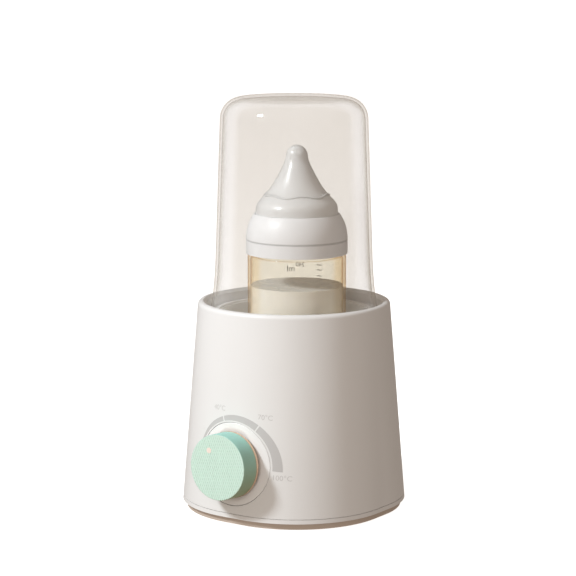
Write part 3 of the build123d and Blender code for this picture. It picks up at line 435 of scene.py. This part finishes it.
def matt(name, color, worn_and_lit_color, roughness, grain, depth, bounce_lit_below=0.0):
    """A matt skin, worn paler in random blots, and painted paler below a given height as painted bounce light from
    the floor.
    """
    finish = Finish(name, color, roughness)
    skin = finish.noise(grain, 4.0)
    wear_and_bounce_light = finish.step(finish.noise(160.0, 4.0), 0.5, 0.7) * 0.35
    # Painted light: below the given height the skin is painted paler, standing in for the floor's bounce light.
    if bounce_lit_below:
        height = finish.axes()[2]
        wear_and_bounce_light = wear_and_bounce_light + 0.5 * (1 - finish.step(height, bounce_lit_below * 0.5, bounce_lit_below))
    finish.set(
        finish.principled,
        {
            "Base Color": finish.mix(wear_and_bounce_light, color, worn_and_lit_color),
            "Roughness": roughness + 0.15 * (skin - 0.5),
        },
    )
    finish.bump(skin, depth)
    return finish


# Painted light: the lowest 1.2 mm of the base plate is painted paler, for the floor's bounce light.
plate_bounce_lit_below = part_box("base_plate")[0].z + 0.0012
# Painted shade: the plate's own beige is painted a darker tan for the shade that falls under the tray.
base_plate_shaded = matt("beige_base_plate_painted_shade", (0.60, 0.50, 0.42), (0.66, 0.57, 0.50), 0.55, 1900.0, 0.00002, plate_bounce_lit_below)
put_on(base_plate_shaded, "base_sand")
put_on(matt("foot_rubber", (0.055, 0.05, 0.047), (0.09, 0.085, 0.08), 0.8, 1400.0, 0.00004), "foot_rubber")
put_on(matt("gland_rubber", (0.70, 0.69, 0.67), (0.62, 0.61, 0.59), 0.6, 1600.0, 0.00003), "gland_rubber")
put_on(matt("relay_black", (0.02, 0.02, 0.022), (0.05, 0.05, 0.05), 0.5, 2400.0, 0.00001), "relay_black")
put_on(matt("terminal_grey", (0.30, 0.31, 0.31), (0.36, 0.36, 0.36), 0.5, 2400.0, 0.00001), "terminal_grey")
seal = matt("gasket_silicone", (0.52, 0.10, 0.05), (0.45, 0.13, 0.08), 0.65, 1700.0, 0.00002)
put_on(seal, "gasket_silicone")
put_on(matt("wire_red", (0.42, 0.02, 0.015), (0.46, 0.06, 0.05), 0.45, 3000.0, 0.00001), "wire_red")
put_on(matt("wire_white", (0.72, 0.71, 0.69), (0.62, 0.61, 0.59), 0.45, 3000.0, 0.00001), "wire_white")
sleeve = matt("capacitor_sleeve", (0.02, 0.03, 0.09), (0.05, 0.06, 0.12), 0.3, 2600.0, 0.000006)
put_on(sleeve, "capacitor_sleeve")

# %% [markdown]
# ## Metals inside
# The heating plate at the bottom of the well is turned aluminium, so its rings run round the
# well's axis. The heater's case is drawn through a die, which leaves straight lines along it.
# Brass and zinc parts are brighter on rubbed spots.

# %% Turned, drawn and plated metal


def from_axis(finish):
    """The distance from the well's axis, in metres."""
    x, y, _ = finish.axes()
    return (x * x + y * y) ** 0.5


def metal(name, color, roughness, blots=500.0):
    finish = Finish(name, color, roughness, Metallic=1.0)
    wear_and_bounce_light = finish.noise(blots, 4.0)
    dull = tuple(0.82 * part for part in color)
    finish.set(
        finish.principled,
        {"Base Color": finish.mix(wear_and_bounce_light, color, dull), "Roughness": roughness + 0.2 * (wear_and_bounce_light - 0.5)},
    )
    return finish


hot_plate = metal("turned_aluminium", (0.74, 0.74, 0.75), 0.3)
turned_rings(hot_plate, from_axis(hot_plate), 0.0007, 0.000006)
put_on(hot_plate, "plate_metal")

drawn = metal("drawn_aluminium", (0.66, 0.66, 0.68), 0.35)
stretch = {"Vector": drawn.place, "Scale": (60.0, 4000.0, 4000.0)}
lines = drawn.add("ShaderNodeMapping", inputs=stretch)[0]
drawn.bump(drawn.add("ShaderNodeTexNoise", inputs={"Vector": lines, "Scale": 1.0})["Fac"], 0.00001)
put_on(drawn, "heater_case")

zinc = metal("bright_zinc", (0.62, 0.63, 0.66), 0.32, 900.0)
zinc.bump(zinc.noise(2500.0), 0.000008)
put_on(zinc, "screw_steel")
brass = metal("turned_brass", (0.72, 0.50, 0.22), 0.3, 900.0)
brass.bump(brass.noise(2500.0), 0.000006)
put_on(brass, "probe_brass")

# %% [markdown]
# ## The control board
# Green solder mask over copper: the tracks stand slightly proud under it and look paler. Rows of
# rounded bands are enough for that, made from a sine across the board and broken into pieces by a noise.

# %% Solder mask with tracks
board = Finish("green_solder_mask", (0.02, 0.13, 0.06), 0.3, **{"Coat Weight": 0.4})
board_y = board.axes()[1]
rows = board.step((board_y * 1600.0).math("SINE"), 0.55, 0.75)
breaks = board.step(board.noise(140.0, 0.0), 0.45, 0.5)
tracks = rows * breaks
board.set(
    board.principled,
    {
        "Base Color": board.mix(tracks, (0.015, 0.11, 0.05), (0.05, 0.22, 0.10)),
        "Roughness": 0.28 + 0.1 * board.noise(800.0),
    },
)
board.bump(tracks, 0.00003)
put_on(board, "board_green")

# %% [markdown]
# ## Printing that follows the housing
# The dial's scale is a grey crescent that widens clockwise, with two thin gaps, and three
# temperatures beside it. It is pad-printed on a curved, sloping wall. Each print is drawn flat in
# the dial's plane and then pushed along the dial's axis onto the wall by casting rays, which
# keeps it true from the front and skin-tight from every side. A hair of thickness makes it a
# closed body.

# %% Dropping flat artwork on a wall
wall = BVHTree.FromObject(nodes["outer_housing"], bpy.context.evaluated_depsgraph_get())
INK_LIFT = 0.00006
INK_THICK = 0.00004


def on_wall(right, up, lift):
    """The point of the housing's skin in front of a place on the dial's plane, lifted off it."""
    start = DIAL_CENTRE + DIAL_RIGHT * right + DIAL_UP * up + DIAL_OUT * 0.05
    hit, normal, _, _ = wall.ray_cast(start, -DIAL_OUT)
    return hit + normal * lift


def link(name, mesh, material, body):
    """Puts a new piece in the scene, with its finish and the body that it rides on."""
    piece = bpy.data.objects.new(name, mesh)
    bpy.context.scene.collection.objects.link(piece)
    mesh.materials.clear()
    mesh.materials.append(material)
    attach(piece, body)
    print(name, len(mesh.polygons), "faces")
    return piece


def ink_film(name, flat_points, faces, material, body, place):
    """A closed film: the artwork once at each side of its thickness, and walls round its edges."""
    build = bmesh.new()
    top = [build.verts.new(place(*point, INK_LIFT)) for point in flat_points]
    low = [build.verts.new(place(*point, INK_LIFT - INK_THICK)) for point in flat_points]
    for face in faces:
        build.faces.new([top[i] for i in face])
        build.faces.new([low[i] for i in reversed(face)])
    count = {}
    for face in faces:
        for a, b in zip(face, (*face[1:], face[0])):
            count[(a, b)] = True
    for a, b in count:
        if (b, a) not in count:
            build.faces.new([top[b], top[a], low[a], low[b]])
    bmesh.ops.recalc_face_normals(build, faces=build.faces)
    mesh = bpy.data.meshes.new(name)
    build.to_mesh(mesh)
    build.free()
    return link(name, mesh, material, body)


# %% The ink
ink = Finish("grey_scale_ink", (0.60, 0.59, 0.585), 0.45)
ink_grain = ink.noise(2600.0, 3.0)
ink.set(
    ink.principled,
    {
        "Base Color": ink.mix(ink_grain, (0.61, 0.60, 0.595), (0.57, 0.56, 0.555)),
        "Roughness": 0.4 + 0.12 * ink_grain,
    },
)
ink.bump(ink_grain, 0.000004)

# %% The crescent, in three fields with a gap between each two
SCALE_START = -70.0
SCALE_END = 92.5
SCALE_GAPS = (-16.0, 34.5)
GAP_HALF = 0.9
FIELD_STEPS = 40
FIELD_ROWS = 4
SCALE_INNER = 0.0279
SCALE_THIN = 0.0014
SCALE_GROWTH = 0.0047


def crescent_radii(degrees):
    """The inner and outer radius of the scale at a clock angle."""
    share = (degrees - SCALE_START) / (SCALE_END - SCALE_START)
    inner = SCALE_INNER + 0.0002 * share
    return inner, inner + SCALE_THIN + SCALE_GROWTH * share**0.9


def crescent_field(name, start, end):
    """One printed stretch of the scale between two clock angles."""
    points, faces = [], []
    for i in range(FIELD_STEPS + 1):
        degrees = start + (end - start) * i / FIELD_STEPS
        angle = math.radians(degrees)
        inner, outer = crescent_radii(degrees)
        for j in range(FIELD_ROWS + 1):
            radius = inner + (outer - inner) * j / FIELD_ROWS
            points.append((radius * math.sin(angle), radius * math.cos(angle)))
    for i in range(FIELD_STEPS):
        for j in range(FIELD_ROWS):
            corner = i * (FIELD_ROWS + 1) + j
            beyond = corner + FIELD_ROWS + 1
            faces.append((corner, corner + 1, beyond + 1, beyond))
    return ink_film(name, points, faces, ink.material, "warmer", on_wall)


edges = [SCALE_START, *SCALE_GAPS, SCALE_END]
for number, (start, end) in enumerate(zip(edges, edges[1:])):
    first = start + (GAP_HALF if number else 0.0)
    last = end - (GAP_HALF if number < len(SCALE_GAPS) else 0.0)
    crescent_field(f"scale_field_{number + 1}", first, last)

# %% [markdown]
# ## Lettering
# The temperatures are plain numbers. Blender's own text object gives clean outlines; it is
# turned into a mesh, and its points are dropped onto the wall like the crescent's.

# %% Numbers on the wall


def lettering(name, text, size, right, up, material, body, place):
    """Flat text about a point, dropped onto a wall by its place function."""
    curve = bpy.data.curves.new(name, "FONT")
    curve.body = text
    curve.size = size
    curve.align_x = "CENTER"
    curve.align_y = "CENTER"
    curve.resolution_u = 4
    holder = bpy.data.objects.new(name, curve)
    flat = bpy.data.meshes.new_from_object(holder)
    points = [(right + v.co.x, up + v.co.y) for v in flat.vertices]
    faces = [tuple(face.vertices) for face in flat.polygons]
    bpy.data.objects.remove(holder)
    bpy.data.meshes.remove(flat)
    return ink_film(name, points, faces, material, body, place)


pale_ink = Finish("pale_label_ink", (0.66, 0.65, 0.64), 0.45)
pale_grain = pale_ink.noise(2600.0, 3.0)
pale_ink.set(pale_ink.principled, {"Roughness": 0.4 + 0.12 * pale_grain})
pale_ink.bump(pale_grain, 0.000004)

LABEL_SIZE = 0.0046
LABELS = (("40", -0.0118, 0.0348), ("70", 0.0222, 0.0322), ("100", 0.0338, -0.0055))
for text, right, up in LABELS:
    label = f"{text}°C"
    lettering(
        f"label_{text}", label, LABEL_SIZE, right, up,
        pale_ink.material, "warmer", on_wall,
    )

# %% [markdown]
# ## Marks on the bottle
# The bottle's volume scale is printed on its far side, so it is read backwards through the wall.
# It is wrapped round the bottle by turning a distance along the wall into an angle.

# %% Volume marks wrapped round the bottle
bottle_low, bottle_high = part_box("bottle_shell")
BOTTLE_RADIUS = (bottle_high.x - bottle_low.x) / 2
BOTTLE_MIDDLE = (bottle_low + bottle_high) / 2
VIEW_SIDE = math.radians(35.0)


def on_bottle(along, height, lift):
    """A place on the bottle's far side: along its wall from the middle of that side, and up."""
    angle = math.radians(90.0) + VIEW_SIDE + along / BOTTLE_RADIUS
    radius = BOTTLE_RADIUS + lift
    flat = BOTTLE_MIDDLE.xy + radius * Vector((math.cos(angle), math.sin(angle)))
    return Vector((*flat, height))


brown_ink = Finish("brown_volume_ink", (0.03, 0.02, 0.015), 0.4)
brown_grain = brown_ink.noise(2600.0, 3.0)
brown_ink.set(brown_ink.principled, {"Roughness": 0.35 + 0.15 * brown_grain})
brown_ink.bump(brown_grain, 0.000004)


BAR_STEPS = 8


def bar(name, along, height, length, thick):
    """One short printed line, in steps so that it bends with the wall."""
    points = []
    for i in range(BAR_STEPS + 1):
        x = along + length * (i / BAR_STEPS - 0.5)
        points += [(x, height - thick / 2), (x, height + thick / 2)]
    faces = [(2 * i, 2 * i + 2, 2 * i + 3, 2 * i + 1) for i in range(BAR_STEPS)]
    return ink_film(name, points, faces, brown_ink.material, "bottle", on_bottle)


for number, drop in enumerate((0.0126, 0.0159, 0.0199)):
    bar(f"volume_bar_{number + 1}", -0.0156, COLLAR_FOOT - drop, 0.0036, 0.0005)
lettering(
    "volume_unit", "ml", 0.0058, 0.0039, COLLAR_FOOT - 0.0156,
    brown_ink.material, "bottle", on_bottle,
)
lettering(
    "volume_value", "240", 0.0040, -0.0024, COLLAR_FOOT - 0.0129,
    brown_ink.material, "bottle", on_bottle,
)

# %% [markdown]
# ## The wavy rib on the teat
# A soft rib runs round the teat where its nipple grows out of the dome, and it waves gently up
# and down. A ring of points with a small sine in its height, swept by a thin round section, is
# enough, with the same silicone as the teat.

# %% A wavy ring
COLLAR_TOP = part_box("bottle_collar")[1].z


teat_skin_tree = BVHTree.FromObject(nodes["teat"], bpy.context.evaluated_depsgraph_get())


def teat_radius(height):
    """How far out the teat reaches at a height, found by a ray from outside."""
    start = Vector((0.2, BOTTLE_MIDDLE.y, height))
    hit = teat_skin_tree.ray_cast(start, Vector((-1.0, 0.0, 0.0)))[0]
    return hit.x - BOTTLE_MIDDLE.x


def wavy_ring(name, height, wave, waves, thick, material, body):
    """A thin round section swept about the teat, with its height waving."""
    build = bmesh.new()
    around, across = 144, 10
    rings = []
    for i in range(around):
        angle = 2 * math.pi * i / around
        z = height + wave * math.sin(waves * angle)
        radius = teat_radius(z)
        rings.append([])
        for j in range(across):
            part = 2 * math.pi * j / across
            out = radius + thick * math.cos(part)
            rise = thick * 0.8 * math.sin(part)
            point = BOTTLE_MIDDLE.xy + out * Vector((math.cos(angle), math.sin(angle)))
            rings[-1].append(build.verts.new((*point, z + rise)))
    for i in range(around):
        here, there = rings[i], rings[(i + 1) % around]
        for j in range(across):
            k = (j + 1) % across
            build.faces.new((here[j], here[k], there[k], there[j])).smooth = True
    bmesh.ops.recalc_face_normals(build, faces=build.faces)
    mesh = bpy.data.meshes.new(name)
    build.to_mesh(mesh)
    build.free()
    return link(name, mesh, material, body)


wavy_ring("teat_wavy_rib", COLLAR_TOP + 0.0125, 0.0006, 6, 0.0008, teat.material, "bottle")

# %% [markdown]
# ## Floor, light and camera
# A white sweep and one big soft lamp high on the left are the usual set for a white product.
# The room itself is dim and warm, so the side away from the lamp falls off to a warm grey. The
# floor is kept from throwing light back up, which would wash that side out.

# %% The floor


def plain_floor():
    build = bmesh.new()
    bmesh.ops.create_grid(build, x_segments=8, y_segments=8, size=30.0)
    mesh = bpy.data.meshes.new("floor")
    build.to_mesh(mesh)
    build.free()
    floor = bpy.data.objects.new("floor", mesh)
    bpy.context.scene.collection.objects.link(floor)
    paper = Finish("white_paper", (0.93, 0.93, 0.93), 0.9)
    grain = paper.noise(900.0)
    paper.set(paper.principled, {"Roughness": 0.85 + 0.1 * grain, "Emission Strength": 0.85})
    paper.set(paper.principled, {"Emission Color": (1.0, 1.0, 1.0)})
    mesh.materials.append(paper.material)
    floor.visible_diffuse = False
    floor.visible_glossy = False
    return floor


plain_floor()

# %% The room: dim and warm, with a white backdrop behind the object
world = bpy.data.worlds.new("studio")
bpy.context.scene.world = world
world.use_nodes = True
room = world.node_tree
room_light = room.nodes["Background"]
room_light.inputs["Color"].default_value = (0.345, 0.295, 0.255, 1.0)
room_light.inputs["Strength"].default_value = 1.0
backdrop = room.nodes.new("ShaderNodeBackground")
backdrop.inputs["Color"].default_value = (1.0, 1.0, 1.0, 1.0)
backdrop.inputs["Strength"].default_value = 1.05
seen = room.nodes.new("ShaderNodeLightPath")
choose = room.nodes.new("ShaderNodeMixShader")
room.links.new(seen.outputs["Is Camera Ray"], choose.inputs[0])
room.links.new(room_light.outputs[0], choose.inputs[1])
room.links.new(backdrop.outputs[0], choose.inputs[2])
room.links.new(choose.outputs[0], room.nodes["World Output"].inputs["Surface"])


# %% Soft lamps


def soft_lamp(name, azimuth, elevation, distance, size, power, color, aim=0.13):
    """A square soft lamp that looks at the object from a direction, in degrees."""
    a, e = math.radians(azimuth), math.radians(elevation)
    back = Vector((math.sin(a) * math.cos(e), -math.cos(a) * math.cos(e), math.sin(e)))
    data = bpy.data.lights.new(name, "AREA")
    data.shape = "RECTANGLE"
    data.size, data.size_y = size
    data.energy = power
    data.color = color
    lamp = bpy.data.objects.new(name, data)
    lamp.location = Vector((0, 0, aim)) + back * distance
    lamp.rotation_mode = "QUATERNION"
    lamp.rotation_quaternion = (-back).to_track_quat("-Z", "Y")
    bpy.context.scene.collection.objects.link(lamp)
    print(name, "at", [round(v, 2) for v in lamp.location])
    return lamp


soft_lamp("key_lamp", -27.0, 38.0, 1.6, (0.22, 0.22), 20.2, (0.90, 0.96, 1.0))
front_lamp = soft_lamp("front_lamp", 15.0, 12.0, 1.9, (1.0, 1.0), 8.0, (1.0, 0.93, 0.87))
front_lamp.visible_glossy = False

# %% The camera
CAMERA_PLACE = (0.7998, -1.1491, 0.3717)
CAMERA_DOWN = 9.24
CAMERA_TURN = 35.0
camera_data = bpy.data.cameras.new("camera")
camera_data.sensor_width = 36.0
camera_data.lens = 135.9
camera = bpy.data.objects.new("camera", camera_data)
camera.location = CAMERA_PLACE
camera.rotation_euler = (math.radians(90.0 - CAMERA_DOWN), 0.0, math.radians(CAMERA_TURN))
bpy.context.scene.collection.objects.link(camera)
bpy.context.scene.camera = camera
bpy.context.scene.view_settings.view_transform = "Standard"
